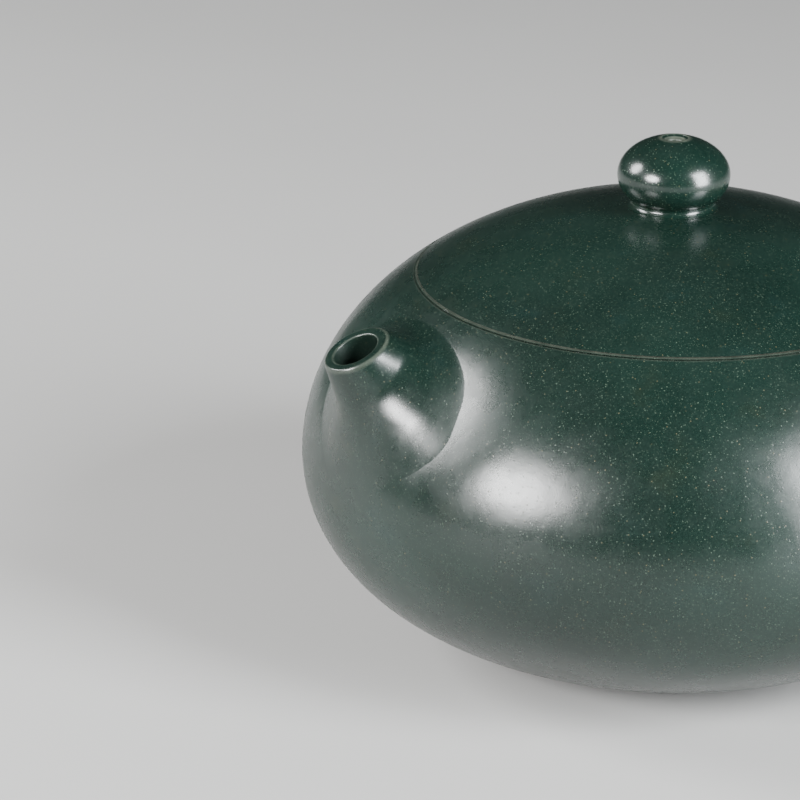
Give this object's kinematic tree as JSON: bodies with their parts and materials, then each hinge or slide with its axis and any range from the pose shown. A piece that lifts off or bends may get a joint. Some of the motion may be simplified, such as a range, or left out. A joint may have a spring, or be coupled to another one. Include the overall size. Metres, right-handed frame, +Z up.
{
  "type": "teapot",
  "caption": "Small squat clay teapot with a flush domed lid, a bead knob with an air hole, a short tapered spout with a strainer, and a loop handle.",
  "frame": {"origin": "centre of the flat foot, on the pot's vertical axis", "axes": "+Z up along the pot's axis, +X towards the spout, -X towards the handle"},
  "size_m": [0.131, 0.1, 0.0693],
  "materials": {
    "burnished_clay": "satin",
    "raw_clay": "matte"
  },
  "bodies": {
    "pot": {"base_disc": "burnished_clay", "body_wall": "burnished_clay", "mouth_ring": "burnished_clay", "spout": "burnished_clay", "strainer": "raw_clay", "handle": "burnished_clay"},
    "lid": {"lid_disc": "burnished_clay", "lid_flange": "raw_clay", "knob": "burnished_clay"}
  },
  "joints": [
    {"name": "lid_lift", "type": "slide", "parent": "pot", "child": "lid", "axis": [0, 0, 1], "range_m": [0, 0.05]}
  ]
}
